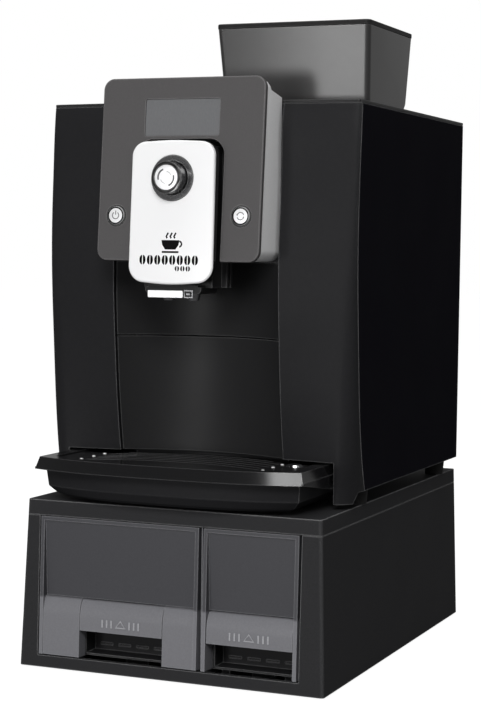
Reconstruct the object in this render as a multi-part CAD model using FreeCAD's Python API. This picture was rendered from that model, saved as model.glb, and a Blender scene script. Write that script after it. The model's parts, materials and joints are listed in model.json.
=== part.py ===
import FreeCAD, Part
import math
import os

# A bean-to-cup coffee vending machine on a base cabinet with two drawers.
# Millimetres. +X is the right-hand side seen from the front, -Y is the front, +Z is up.
# The origin is at the centre of the floor rectangle that the whole object stands over.

V = FreeCAD.Vector
X_AXIS = V(1, 0, 0)
Y_AXIS = V(0, 1, 0)
Z_AXIS = V(0, 0, 1)

# ---------------------------------------------------------------- driving dimensions
WALL = 3.0

# base cabinet
BASE_HALF_BOTTOM = 148.3
BASE_HALF_TOP = 142.7
BASE_FRONT = -192.4
BASE_BACK = 217.2
BASE_TOP = 154.6
BASE_LEAN = 4.9
LID_SEAM = 140.4
PAD_HEIGHT = 1.6
CABINET_FLOOR = PAD_HEIGHT + WALL
OPENING_LEFT = -129.7
OPENING_RIGHT = 125.0
OPENING_BOTTOM = 12.5

# drawers
FRONT_BOTTOM = 13.5
FRONT_TOP = 139.8
FRONT_DEPTH = 14.0
RIM = 3.6
SHOULDER_TOP = 66.8
SHOULDER_LOW = 50.0
PANEL_DEPTH_TOP = 1.5
PANEL_DEPTH_LOW = 7.5
LIP_BOTTOM = 38.4
LIP_WALL = 2.8
BIN_BOTTOM = 13.2
BIN_TOP = 126.0
BIN_BACK = 200.0
BIN_WALL = 2.0
STORE_FRONT = -134.0
CUP_BACK = -158.0
CUP_ROOF = 38.8
PIN_RADIUS = 1.5
PIN_CLEARANCE = 0.05
HINGE_DEPTH = 9.6
HINGE_HEIGHT = 60.5

# left and right edges of each drawer's rim, push lip and bin, and the extra depth of its left jamb
DRAWERS = {
    "left": dict(rim=(-128.6, 28.3), lip=(-87.5, -5.8), bin=(-124.4, 24.2), jamb=0.0),
    "right": dict(rim=(33.1, 122.6), lip=(37.3, 118.4), bin=(37.4, 118.2), jamb=12.0),
}

# machine body
HALF = 151.0
PANEL_T = 2.4
TOP = 516.2
CAP_T = 2.8
BACK = 197.0
SHELL_BOTTOM = 159.5
SIDE_BOTTOM = 169.5
SHELL_BACK = -60.0
LINER_BACK = -92.0
WING_INNER = 81.0
FLOOR_T = 3.0

# plan stations of a wing: height, depth at the inner edge, nose position, depth at the side panel
WING_STATIONS = [
    (SHELL_BOTTOM, -121.0, 139.0, -129.0, -96.0),
    (195.0, -122.5, 139.0, -129.8, -108.8),
    (245.0, -131.0, 140.5, -131.5, -118.3),
    (300.0, -136.8, 142.5, -133.5, -123.8),
    (350.0, -140.5, 144.5, -135.0, -128.0),
    (400.0, -139.5, 146.0, -134.5, -129.4),
    (460.0, -136.0, 146.5, -131.5, -126.8),
    (TOP, -132.0, 147.0, -127.0, -122.8),
]

# column between the wings
COLUMN_CENTRE = -100.0
COLUMN_HALF = WING_INNER - 0.6
COLUMN_T = 3.0
COLUMN_SEAM = 303.6
COLUMN_TOP = 372.0

# drip tray
RIM_TOP = 195.0
RIM_LOW = 184.0
TRAY_BOTTOM = 158.0
TRAY_HALF = 129.5
TRAY_FRONT = -217.2
TRAY_CORNER = -199.0
TRAY_BACK = -114.0
GRATE_HALF = 115.0
GRATE_T = 3.0
FLOAT_X = 101.5
FLOAT_Y = -146.0
FLOAT_R = 8.0

# control block
BEZEL_HALF = 78.2
BEZEL_BOTTOM = 373.0
BEZEL_HEIGHT = 162.3
BEZEL_FRONT = -180.7
BEZEL_TILT = -4.557
BEZEL_CORNER = 10.0
FASCIA_T = 5.0
BRIDGE_FRONT = -128.0
SLOT_HALF = 42.0
SLOT_TOP = 480.5
WINDOW_HALF = 35.8
WINDOW_LOW = 110.5
WINDOW_HIGH = 143.2
BUTTON_X = 60.3
BUTTON_Z = 39.9
BUTTON_R = 8.1

# spout
COVER_HALF_LOW = 40.6
COVER_HALF_HIGH = 39.4
COVER_LOW = 353.3
COVER_HIGH = 478.3
COVER_FRONT = -190.2
COVER_BACK = -176.0
COVER_BACK_LOW = -187.5
COVER_LEAN = -2.5
COVER_WALL = 2.4
CARRIAGE_HALF = 33.0
CARRIAGE_BACK = -134.6
CARRIAGE_LOW = 350.0
CARRIAGE_HIGH = 474.0
KNOB_Z = 445.5
KNOB_FRONT = -202.8
KNOB_R = 14.2

# bean hopper
HOPPER_BASE = TOP + 0.4
HOPPER_TOP = 583.0
HOPPER_LOW = (8.5, 147.8, -97.6, 12.3)
HOPPER_HIGH = (4.4, 150.6, -106.2, 18.8)
HOPPER_WALL = 2.5
THROAT = V(78.0, -45.0, 0)
THROAT_R = 20.0

# water tank
TANK = (-140.0, -14.0, 22.0, 188.0)
TANK_LOW = 177.0
TANK_HIGH = 510.0
TANK_HINGE = (187.4, 515.6)
TANK_EARS = ((-106.5, -102.0), (-52.0, -47.5))
HINGE_PIN_R = 1.2

# brew unit and grinder axes
BREW = V(-30.0, -45.0, 0)
SCREW = V(-30.0, -14.0, 0)
SCREW_R = 5.0
SHAFT_R = 6.0


# ---------------------------------------------------------------- helpers
def box(x0, x1, y0, y1, z0, z1):
    return Part.makeBox(x1 - x0, y1 - y0, z1 - z0, V(x0, y0, z0))


def cylinder(radius, start, axis, length):
    return Part.makeCylinder(radius, length, start, axis)


def ring(outer, inner, start, axis, length):
    return cylinder(outer, start, axis, length).cut(cylinder(inner, start, axis, length))


def fuse(shapes):
    first, rest = shapes[0], shapes[1:]
    return first.fuse(rest).removeSplitter() if rest else first


def cut(shape, tools):
    return shape.cut(tools)


def mirror_x(shape):
    return shape.mirror(V(0, 0, 0), X_AXIS)


def rotated(shape, centre, axis, degrees):
    copy = shape.copy()
    copy.rotate(centre, axis, degrees)
    return copy


def moved(shape, offset):
    copy = shape.copy()
    copy.translate(offset)
    return copy


def round_outline(points, radii):
    """Closed wire through points whose corners are rounded by tangent arcs."""
    count = len(points)
    edges = []
    ends = []
    for i, corner in enumerate(points):
        before = (points[i - 1] - corner).normalize()
        after = (points[(i + 1) % count] - corner).normalize()
        radius = radii[i]
        if radius <= 0:
            ends.append((corner, corner))
            continue
        half_turn = before.getAngle(after) / 2
        reach = radius / math.tan(half_turn)
        start = corner + before * reach
        end = corner + after * reach
        middle_direction = (before + after).normalize()
        centre_distance = radius / math.sin(half_turn)
        middle = corner + middle_direction * (centre_distance - radius)
        edges.append((i, Part.Arc(start, middle, end).toShape()))
        ends.append((start, end))
    arcs = dict(edges)
    chain = []
    for i in range(count):
        if i in arcs:
            chain.append(arcs[i])
        leave = ends[i][1]
        arrive = ends[(i + 1) % count][0]
        if (leave - arrive).Length > 1e-6:
            chain.append(Part.LineSegment(leave, arrive).toShape())
    return Part.Wire(chain)


def prism(wire, direction):
    return Part.Face(wire).extrude(direction)


def plate_xz(x0, x1, z0, z1, y0, y1, radii):
    """Plate standing in the XZ plane; radii start at the lower left corner, anticlockwise."""
    corners = [V(x0, y0, z0), V(x1, y0, z0), V(x1, y0, z1), V(x0, y0, z1)]
    return prism(round_outline(corners, radii), V(0, y1 - y0, 0))


def profile_yz(points, x0, x1):
    """Prism along X over a polygon of (y, z) points."""
    wire = Part.makePolygon([V(x0, y, z) for y, z in points + points[:1]])
    return prism(wire, V(x1 - x0, 0, 0))


def round_rect_xy(x0, x1, y0, y1, z, radius):
    corners = [V(x0, y0, z), V(x1, y0, z), V(x1, y1, z), V(x0, y1, z)]
    return round_outline(corners, [radius] * 4)


def fillet_where(shape, radius, chosen):
    edges = [edge for edge in shape.Edges if chosen(edge)]
    return shape.makeFillet(radius, edges) if edges else shape


def save(name, *solids):
    shape = solids[0] if len(solids) == 1 else Part.makeCompound(list(solids))
    shape.exportStep(os.path.join("parts", name + ".step"))


# ---------------------------------------------------------------- base cabinet
def base_half(z):
    return BASE_HALF_BOTTOM - (BASE_HALF_BOTTOM - BASE_HALF_TOP) * z / BASE_TOP


def base_front(z):
    return BASE_FRONT + BASE_LEAN * z / BASE_TOP


def base_section(z, inset, front_inset):
    half = base_half(z) - inset
    front = base_front(z) + front_inset
    back = BASE_BACK - inset
    corners = [V(-half, front, z), V(half, front, z), V(half, back, z), V(-half, back, z)]
    return Part.makePolygon(corners + corners[:1])


def base_block(z0, z1, inset=0.0, front_inset=0.0):
    sections = [base_section(z, inset, front_inset) for z in (z0, z1)]
    return Part.makeLoft(sections, True, True)


def is_front_corner(edge):
    first, last = edge.Vertexes[0].Point, edge.Vertexes[-1].Point
    upright = abs(first.z - last.z) > 10
    return upright and min(abs(first.x), abs(last.x)) > 140 and max(first.y, last.y) < -180


def make_base():
    outer = fillet_where(base_block(PAD_HEIGHT, LID_SEAM - 0.2), 3.0, is_front_corner)
    cavity = base_block(CABINET_FLOOR, LID_SEAM + 1, WALL, 5.0)
    opening = box(OPENING_LEFT, OPENING_RIGHT, -200, -180, OPENING_BOTTOM, LID_SEAM + 1)
    housing = cut(outer, [cavity, opening])
    strikes = []
    for drawer in DRAWERS.values():
        centre = sum(drawer["lip"]) / 2
        strikes.append(box(centre - 11, centre + 11, -154, -151, CABINET_FLOOR - 0.5, BIN_BOTTOM - 0.4))
    save("base_housing", fuse([housing] + strikes))

    slab = fillet_where(base_block(LID_SEAM + 0.1, BASE_TOP), 3.0, is_front_corner)
    slab = fillet_where(slab, 0.8, lambda e: min(v.Z for v in e.Vertexes) > BASE_TOP - 0.01)
    recess = base_block(LID_SEAM - 1, BASE_TOP - WALL, 4.0, 6.0)
    save("base_lid", cut(slab, [recess]))

    pads = [cylinder(11, V(x, y, 0), Z_AXIS, PAD_HEIGHT)
            for x in (-125, 125) for y in (-165, 190)]
    save("base_pads", *pads)

    divider = box(30.0, 31.4, -186, 213, CABINET_FLOOR + 0.1, LID_SEAM - 0.6)
    foot = box(31.4, 36.0, -130, 213, CABINET_FLOOR + 0.1, CABINET_FLOOR + 1.5)
    save("drawer_divider", fuse([divider, foot]))

    runner_xs = (-112.0, 8.0, 44.0, 104.0)
    runners = [box(x, x + 8, -170, 205, CABINET_FLOOR, BIN_BOTTOM - 0.4) for x in runner_xs]
    save("drawer_runners", *runners)


# ---------------------------------------------------------------- drawers
def lean(shape):
    """Tilt a drawer front with the leaning front face of the cabinet."""
    angle = math.degrees(math.atan2(BASE_LEAN, BASE_TOP))
    return rotated(shape, V(0, BASE_FRONT, 0), X_AXIS, -angle)


def shoulder_outline(face_depth, top_depth, top, bottom, back_depth, x):
    """Closed wire in a YZ plane: rounded shoulder, upright face, flat bottom and back."""
    curve = Part.BezierCurve()
    rise = top - SHOULDER_LOW
    curve.setPoles([V(x, BASE_FRONT + top_depth, top),
                    V(x, BASE_FRONT + (face_depth + top_depth) / 2, top),
                    V(x, BASE_FRONT + face_depth, SHOULDER_LOW + rise / 2),
                    V(x, BASE_FRONT + face_depth, SHOULDER_LOW)])
    low_front = V(x, BASE_FRONT + face_depth, bottom)
    low_back = V(x, BASE_FRONT + back_depth, bottom)
    high_back = V(x, BASE_FRONT + back_depth, top)
    lines = [Part.LineSegment(curve.getPole(4), low_front),
             Part.LineSegment(low_front, low_back),
             Part.LineSegment(low_back, high_back)]
    if (high_back - curve.getPole(1)).Length > 1e-6:
        lines.append(Part.LineSegment(high_back, curve.getPole(1)))
    return Part.Wire([curve.toShape()] + [line.toShape() for line in lines])


def shoulder_block(x0, x1):
    """Hollow block below the drawer panel, open at the back."""
    wall = 2.5
    outer = prism(shoulder_outline(0.8, PANEL_DEPTH_LOW, SHOULDER_TOP, FRONT_BOTTOM,
                                   FRONT_DEPTH, x0), V(x1 - x0, 0, 0))
    inner = prism(shoulder_outline(0.8 + wall, PANEL_DEPTH_LOW, SHOULDER_TOP - wall,
                                   FRONT_BOTTOM + wall, FRONT_DEPTH + 1, x0 + wall),
                  V(x1 - x0 - 2 * wall, 0, 0))
    return outer.cut(inner)


def drawer_front(drawer):
    left, right = drawer["rim"]
    lip_left, lip_right = drawer["lip"]
    back = BASE_FRONT + FRONT_DEPTH
    pieces = [box(left, left + RIM, BASE_FRONT, back, FRONT_BOTTOM, FRONT_TOP),
              box(right - RIM, right, BASE_FRONT, back, FRONT_BOTTOM, FRONT_TOP),
              box(left, right, BASE_FRONT, back, FRONT_TOP - RIM, FRONT_TOP)]
    low, high = SHOULDER_TOP + 0.2, FRONT_TOP - RIM + 1
    slope = [(BASE_FRONT + PANEL_DEPTH_LOW, low), (BASE_FRONT + PANEL_DEPTH_TOP, high),
             (BASE_FRONT + PANEL_DEPTH_TOP + 2.5, high), (BASE_FRONT + PANEL_DEPTH_LOW + 2.5, low)]
    pieces.append(profile_yz(slope, left + RIM - 1, right - RIM + 1))
    if drawer["jamb"] > 0:
        deep = back + drawer["jamb"]
        pieces.append(box(left, left + RIM, BASE_FRONT, deep, FRONT_BOTTOM, SHOULDER_TOP))
    if lip_left - left > 10:
        pieces.append(shoulder_block(left + RIM - 0.5, lip_left - 0.5))
        pieces.append(shoulder_block(lip_right + 0.5, right - RIM + 0.5))
    front = lean(fuse(pieces))
    return cut(front, [hinge_cylinder(drawer, PIN_RADIUS, 12)])


def hinge_point():
    """Depth and height of the lever hinge after the front is tilted."""
    angle = math.atan2(BASE_LEAN, BASE_TOP)
    y = BASE_FRONT + HINGE_DEPTH * math.cos(angle) + HINGE_HEIGHT * math.sin(angle)
    z = HINGE_HEIGHT * math.cos(angle) - HINGE_DEPTH * math.sin(angle)
    return y, z


def hinge_cylinder(drawer, radius, overhang):
    y, z = hinge_point()
    left, right = drawer["lip"]
    reach = min(overhang, 2.4 if drawer["jamb"] > 0 else 3.0)
    return cylinder(radius, V(left - reach, y, z), X_AXIS, right - left + 2 * reach)


def push_lever(drawer):
    left, right = drawer["lip"]
    centre = (left + right) / 2
    outer = prism(shoulder_outline(0.8, 8.3, SHOULDER_TOP - 0.4, LIP_BOTTOM, 9.0, left),
                  V(right - left, 0, 0))
    inner = prism(shoulder_outline(0.8 + LIP_WALL, 8.3, SHOULDER_TOP - 0.4 - LIP_WALL,
                                   LIP_BOTTOM + 2.6, 12.0, left), V(right - left, 0, 0))
    lip = lean(outer.cut(inner))
    y, z = hinge_point()
    barrel = cylinder(3.2, V(centre - 28, y, z), X_AXIS, 56)
    ribs = [box(x - 1, x + 1, -187.5, -180.5, LIP_BOTTOM + 1.5, z) for x in (centre - 8, centre + 8)]
    tongue = box(centre - 10, centre + 10, -187.0, -147.4, 42.0, 45.0)
    leg = box(centre - 10, centre + 10, -150.0, -147.4, BIN_BOTTOM, 45.0)
    lever = fuse([lip, barrel, tongue, leg] + ribs)
    bore = hinge_cylinder(drawer, PIN_RADIUS + PIN_CLEARANCE, 3)
    return cut(lever, [bore])


def torsion_spring(drawer):
    """Helical coil round the hinge pin, beside the lever's barrel."""
    y, z = hinge_point()
    start = sum(drawer["lip"]) / 2 + 29.2
    helix = Part.makeHelix(1.1, 5.5, 2.55)
    profile = Part.Wire(Part.Circle(V(2.55, 0, 0), Y_AXIS, 0.42).toShape())
    coil = Part.Wire(helix.Edges).makePipeShell([profile], True, True)
    coil = rotated(coil, V(0, 0, 0), Y_AXIS, 90)
    return moved(coil, V(start, y, z))


def drawer_bin(drawer):
    left, right = drawer["bin"]
    lip_left, lip_right = drawer["lip"]
    centre = (lip_left + lip_right) / 2
    cup_left = max(lip_left - 0.5, left + BIN_WALL + 0.5)
    cup_right = min(lip_right + 0.5, right - BIN_WALL - 0.5)
    front = BASE_FRONT + FRONT_DEPTH + 2.4
    body = box(left, right, front, BIN_BACK, BIN_BOTTOM, BIN_TOP)
    store = box(left + BIN_WALL, right - BIN_WALL, STORE_FRONT + BIN_WALL, BIN_BACK - BIN_WALL,
                BIN_BOTTOM + BIN_WALL, BIN_TOP + 1)
    nook = box(left + BIN_WALL, right - BIN_WALL, front - 1, STORE_FRONT,
               BIN_BOTTOM + BIN_WALL, BIN_TOP + 1)
    leg_hole = box(centre - 13, centre + 13, -155.2, STORE_FRONT - 1, BIN_BOTTOM - 1,
                   BIN_BOTTOM + BIN_WALL + 1)
    shell = cut(body, [store, nook])
    floor = BIN_BOTTOM
    cup = [box(cup_left - BIN_WALL, cup_left, front, STORE_FRONT, floor, 60),
           box(cup_right, cup_right + BIN_WALL, front, STORE_FRONT, floor, 60),
           box(cup_left, cup_right, CUP_BACK, CUP_BACK + BIN_WALL, floor, CUP_ROOF + BIN_WALL),
           box(cup_left, cup_right, front, CUP_BACK, CUP_ROOF, CUP_ROOF + BIN_WALL)]
    grooves = [box(cup_left + 6 + 18 * i, cup_left + 18 + 18 * i, CUP_BACK - 0.1, CUP_BACK + 0.8,
                   20, 22) for i in range(int((cup_right - cup_left - 12) // 18) + 1)]
    grooves = [g for g in grooves if g.BoundBox.XMax < cup_right - 3]
    return cut(fuse([shell] + cup), [leg_hole] + grooves)


def make_drawers():
    for side, drawer in DRAWERS.items():
        save(side + "_drawer_front", drawer_front(drawer))
        save(side + "_drawer_bin", drawer_bin(drawer))
        save(side + "_push_lever", push_lever(drawer))
        save(side + "_hinge_pin", hinge_cylinder(drawer, PIN_RADIUS, 3), torsion_spring(drawer))


# ---------------------------------------------------------------- machine casing
def wing_curve(station, offset):
    """Front edges of a wing in plan: a near-flat face, then a round corner to the side."""
    z, inner_y, nose_x, nose_y, side_y = station
    start = V(WING_INNER + offset, inner_y + offset, z)
    turn = V(nose_x - 6 - offset, nose_y + offset, z)
    end = V(HALF - offset, side_y + offset * 0.3, z)
    along = (turn - start).normalize()
    depth = end.y - turn.y
    face = Part.LineSegment(start, turn)
    corner = Part.BezierCurve()
    corner.setPoles([turn, turn + along * 9, V(end.x, end.y - depth * 0.55, z), end])
    return [face.toShape(), corner.toShape()], start, end


def wing_section(station, offset, side_step, height=None):
    if height is not None:
        station = (height,) + station[1:]
    edges, start, end = wing_curve(station, offset)
    z = station[0]
    path = [end, V(end.x - side_step, end.y, z), V(end.x - side_step, SHELL_BACK + offset, z),
            V(start.x, SHELL_BACK + offset, z), start]
    lines = [Part.LineSegment(a, b).toShape() for a, b in zip(path, path[1:])]
    return Part.Wire(edges + lines)


def wing():
    outer_sections = [wing_section(s, 0, PANEL_T + 0.3) for s in WING_STATIONS[:-1]]
    outer_sections.append(wing_section(WING_STATIONS[-1], 0, PANEL_T + 0.3, TOP - CAP_T - 0.2))
    outer = Part.makeLoft(outer_sections, True, False)
    heights = [s[0] for s in WING_STATIONS]
    heights[0] -= 2
    heights[-1] += 2
    inner_sections = [wing_section(s, WALL, PANEL_T, h) for s, h in zip(WING_STATIONS, heights)]
    inner = Part.makeLoft(inner_sections, True, False)
    behind = box(WING_INNER + WALL, HALF - PANEL_T - 0.3 - WALL, SHELL_BACK - 2, SHELL_BACK + 5,
                 100, 600)
    liner_end = box(WING_INNER - 1, WING_INNER + WALL + 1, LINER_BACK, SHELL_BACK + 1, 100, 600)
    return cut(outer, [inner, behind, liner_end])


def make_front_shell():
    right = wing()
    bridge = box(-WING_INNER - 1, WING_INNER + 1, BRIDGE_FRONT, BRIDGE_FRONT + WALL,
                 BEZEL_BOTTOM, TOP - CAP_T - 0.2)
    ceiling = box(-WING_INNER - 1, WING_INNER + 1, BRIDGE_FRONT, COLUMN_CENTRE + WALL,
                  COLUMN_TOP + 0.4, COLUMN_TOP + 0.4 + WALL)
    shell = fuse([right, mirror_x(right), bridge, ceiling])
    hose_slot = plate_xz(-12, 12, 395, 470, BRIDGE_FRONT - 1, BRIDGE_FRONT + WALL + 1, [10] * 4)
    tray_room = box(-TRAY_HALF - 2, TRAY_HALF + 2, -150, SHELL_BACK + 10, 100, RIM_TOP + 1.4)
    step = [(-112, 150), (-118, SHELL_BOTTOM), (-112, SIDE_BOTTOM), (-50, SIDE_BOTTOM), (-50, 150)]
    slope = profile_yz(step, -HALF - 1, HALF + 1)
    save("front_shell", cut(shell, [hose_slot, tray_room, slope]))


def side_line(offset):
    """The seam between front shell and side panel as a curve in the YZ plane."""
    curve = Part.BSplineCurve()
    curve.interpolate([V(0, s[4] + offset, s[0]) for s in WING_STATIONS])
    return curve


def make_side_panels():
    low, high = SIDE_BOTTOM, TOP - CAP_T - 0.2
    seam = side_line(0.8)
    path = [seam.EndPoint, V(0, BACK, TOP), V(0, BACK, SHELL_BOTTOM), seam.StartPoint]
    lines = [Part.LineSegment(a, b).toShape() for a, b in zip(path, path[1:])]
    face = Part.Face(Part.Wire([seam.toShape()] + lines))
    panel = moved(face, V(HALF - PANEL_T, 0, 0)).extrude(V(PANEL_T, 0, 0))
    panel = panel.common(box(0, HALF + 1, -200, BACK + 1, low, high))
    save("side_panel_right", panel)
    save("side_panel_left", mirror_x(panel))


def make_top_cover():
    station = (TOP - CAP_T,) + WING_STATIONS[-1][1:]
    edges, start, end = wing_curve(station, 0)
    half_edges = Part.Wire(edges)
    z = TOP - CAP_T
    other = half_edges.mirror(V(0, 0, 0), X_AXIS)
    notch_y = BRIDGE_FRONT + 0.2
    path_right = [end, V(HALF, BACK, z), V(-HALF, BACK, z), V(-end.x, end.y, z)]
    path_front = [V(-start.x, start.y, z), V(-start.x, notch_y, z), V(start.x, notch_y, z), start]
    lines = [Part.LineSegment(a, b).toShape()
             for path in (path_right, path_front) for a, b in zip(path, path[1:])]
    outline = Part.Wire(Part.__sortEdges__(half_edges.Edges + other.Edges + lines))
    cap = prism(outline, V(0, 0, CAP_T))
    tank_hole = box(TANK[0] - 3, TANK[1] + 3, TANK[2] - 3, TANK[3] + 3, z - 1, TOP + 1)
    throat_hole = cylinder(THROAT_R + 3, V(THROAT.x, THROAT.y, z - 1), Z_AXIS, CAP_T + 2)
    save("top_cover", cut(cap, [tank_hole, throat_hole]))


def make_rear_panel():
    panel = box(-HALF + PANEL_T + 0.3, HALF - PANEL_T - 0.3, BACK - 2.6, BACK,
                SIDE_BOTTOM, TOP - CAP_T - 0.2)
    vents = [plate_xz(x - 2, x + 2, z, z + 46, BACK - 5, BACK + 1, [1.9] * 4)
             for z in (400, 455) for x in range(20, 121, 10)]
    inlet_hole = box(81, 109, BACK - 5, BACK + 1, 204, 226)
    switch_hole = box(84, 106, BACK - 5, BACK + 1, 240, 268)
    screws = screw_places()
    holes = [cylinder(2.0, V(x, BACK - 4, z), Y_AXIS, 6) for x, z in screws]
    save("rear_panel", cut(panel, vents + [inlet_hole, switch_hole] + holes))
    heads = []
    for x, z in screws:
        head = cylinder(3.6, V(x, BACK, z), Y_AXIS, 1.8)
        shank = cylinder(1.9, V(x, BACK - 10, z), Y_AXIS, 10)
        cross = fuse([box(x - 2.2, x + 2.2, BACK + 0.8, BACK + 2, z - 0.4, z + 0.4),
                      box(x - 0.4, x + 0.4, BACK + 0.8, BACK + 2, z - 2.2, z + 2.2)])
        heads.append(cut(fuse([head, shank]), [cross]))
    save("rear_screws", *heads)


def screw_places():
    return [(x, z) for x in (-138, 0, 138) for z in (182, 350, 498)]


def make_floor():
    top = SIDE_BOTTOM + FLOOR_T
    pan = box(-HALF + PANEL_T + 0.3, HALF - PANEL_T - 0.3, SHELL_BACK + 2, BACK - 2.8,
              SIDE_BOTTOM, top)
    ledges = [box(124, HALF - PANEL_T - 0.3 - WALL - 0.4, -96, SHELL_BACK + 3, SIDE_BOTTOM, top)]
    ledges.append(mirror_x(ledges[0]))
    notch = box(-124, 124, -110, -18, SIDE_BOTTOM - 1, top + 1)
    foot_holes = [cylinder(3, V(x, y, SIDE_BOTTOM - 1), Z_AXIS, 6) for x, y in foot_places()]
    pan = cut(fuse([pan] + ledges), [notch] + foot_holes)
    seat = ring(14, 7.4, V(-77, 105, top - 0.5), Z_AXIS, TANK_LOW - top + 0.1)
    save("floor_pan", fuse([pan, seat]))
    feet = []
    for x, y in foot_places():
        pad = Part.makeCone(9.0, 10.5, SIDE_BOTTOM - BASE_TOP, V(x, y, BASE_TOP), Z_AXIS)
        stud = cylinder(2.9, V(x, y, BASE_TOP + 2), Z_AXIS, SIDE_BOTTOM + FLOOR_T - BASE_TOP)
        feet.append(fuse([pad, stud]))
    save("machine_feet", *feet)

    wall = box(-HALF + 6, HALF - 6, 14, 16, top, TOP - CAP_T - 0.4)
    windows = [box(-60, 40, 10, 20, 330, 420), box(60, 130, 10, 20, 210, 300)]
    flange = box(-HALF + 6, HALF - 6, 4, 14, top, top + 2)
    save("inner_frame", cut(fuse([wall, flange]), windows))


def foot_places():
    return [(x, y) for x in (-136, 136) for y in (-78, 166)]


# ---------------------------------------------------------------- column
def column_depth(z):
    """Depth of the column's side edges, a little behind the wings' inner edges."""
    heights = [s[0] for s in WING_STATIONS]
    depths = [s[1] for s in WING_STATIONS]
    for i in range(len(heights) - 1):
        if heights[i] <= z <= heights[i + 1]:
            share = (z - heights[i]) / (heights[i + 1] - heights[i])
            return depths[i] + share * (depths[i + 1] - depths[i]) + 3.5
    return depths[-1] + 3.5


def column_section(z):
    side = column_depth(z)
    left, right = V(-COLUMN_HALF, side, z), V(COLUMN_HALF, side, z)
    shift = V(0, COLUMN_T, 0)
    front = Part.Arc(left, V(0, COLUMN_CENTRE, z), right)
    back = Part.Arc(right + shift, V(0, COLUMN_CENTRE + COLUMN_T, z), left + shift)
    return Part.Wire([front.toShape(), Part.LineSegment(right, right + shift).toShape(),
                      back.toShape(), Part.LineSegment(left + shift, left).toShape()])


def column_panel(z0, z1):
    middle = (z0 + z1) / 2
    return Part.makeLoft([column_section(z) for z in (z0, middle, z1)], True, False)


def make_column():
    save("column_upper_panel", column_panel(COLUMN_SEAM + 0.5, COLUMN_TOP))
    save("column_lower_panel", column_panel(RIM_TOP + 1.6, COLUMN_SEAM - 0.5))


# ---------------------------------------------------------------- drip tray
def bow(share, corner, front):
    return corner + (front - corner) * (1 - abs(share) ** 3)


def tray_outline(half, corner, front, back, z):
    shares = [-1, -0.88, -0.6, -0.3, 0, 0.3, 0.6, 0.88, 1]
    points = [V(half * s, bow(s, corner, front), z) for s in shares]
    curve = Part.BSplineCurve()
    curve.interpolate(points)
    path = [points[-1], V(half, back, z), V(-half, back, z), points[0]]
    lines = [Part.LineSegment(a, b).toShape() for a, b in zip(path, path[1:])]
    return Part.Wire([curve.toShape()] + lines)


def make_tray():
    # wide rim, flared towards its lower edge
    band = Part.makeLoft([tray_outline(TRAY_HALF, TRAY_CORNER, TRAY_FRONT, TRAY_BACK, RIM_LOW),
                          tray_outline(TRAY_HALF - 3, TRAY_CORNER + 3.5, TRAY_FRONT + 3.7,
                                       TRAY_BACK, RIM_TOP)], True, True)
    under = Part.makeLoft([tray_outline(TRAY_HALF - 3, TRAY_CORNER + 3, TRAY_FRONT + 3,
                                        TRAY_BACK + 1, RIM_LOW - 1),
                           tray_outline(TRAY_HALF - 6, TRAY_CORNER + 6.5, TRAY_FRONT + 6.7,
                                        TRAY_BACK + 1, RIM_TOP - 3)], True, True)
    well = prism(tray_outline(GRATE_HALF + 0.6, TRAY_CORNER + 13, TRAY_FRONT + 14.6,
                              TRAY_BACK + 2, RIM_TOP - 5), V(0, 0, 10))
    skirts = [profile_yz([(TRAY_CORNER, RIM_LOW), (TRAY_BACK, RIM_LOW - 13),
                          (TRAY_BACK, RIM_LOW + 2), (TRAY_CORNER, RIM_LOW + 2)],
                         TRAY_HALF - 3, TRAY_HALF)]
    skirts.append(mirror_x(skirts[0]))
    ledge = prism(tray_outline(TRAY_HALF - 4, TRAY_CORNER + 5, TRAY_FRONT + 6,
                               TRAY_BACK, RIM_TOP - 6.4), V(0, 0, 2.2))
    hole = prism(tray_outline(GRATE_HALF - 5, TRAY_CORNER + 18, TRAY_FRONT + 19,
                              TRAY_BACK + 2, RIM_TOP - 8), V(0, 0, 8))
    rim = fuse([band.cut(under).cut(well)] + skirts + [ledge.cut(hole)])
    save("tray_rim", rim)

    # basin under the rim: upright walls over a belly that turns in at a crease
    levels = [(TRAY_BOTTOM, 108, -177, -197), (161, 115, -182, -202), (168, 121.5, -187.5, -206.5),
              (RIM_TOP - 7, 123.5, -190, -208)]
    outer = Part.makeLoft([tray_outline(half, corner, front, -24, z)
                           for z, half, corner, front in levels], True, True)
    inner_levels = [(TRAY_BOTTOM + 2.5, 105, -174.5, -194)] + \
        [(z, half - 2.5, corner + 2.5, front + 2.5) for z, half, corner, front in levels[1:]]
    inner_levels[-1] = (RIM_TOP - 6,) + inner_levels[-1][1:]
    inner = Part.makeLoft([tray_outline(half, corner, front, -26.5, z)
                           for z, half, corner, front in inner_levels], True, True)
    rear_drop = box(-130, 130, TRAY_BACK + 0.6, 0, RIM_LOW, 220)
    save("drip_tray", cut(outer, [inner, rear_drop]))

    make_grate()

    # grounds container, standing on the rear of the tray
    bin_front = COLUMN_CENTRE + COLUMN_T + 0.3
    outer = box(-77, 77, bin_front, -26, RIM_LOW + 0.5, COLUMN_SEAM - 4)
    inner = box(-75, 75, bin_front + 2, -28, RIM_LOW + 2.5, COLUMN_SEAM)
    flange = box(-77, 77, bin_front, bin_front + 2, RIM_LOW + 0.5, COLUMN_SEAM - 2)
    save("grounds_container", fuse([outer.cut(inner), flange]))


def column_parallel(x, centre):
    """Depth of a curve that runs parallel to the column's plan arc."""
    return centre - 21.0 * (x / 86.0) ** 2


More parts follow.
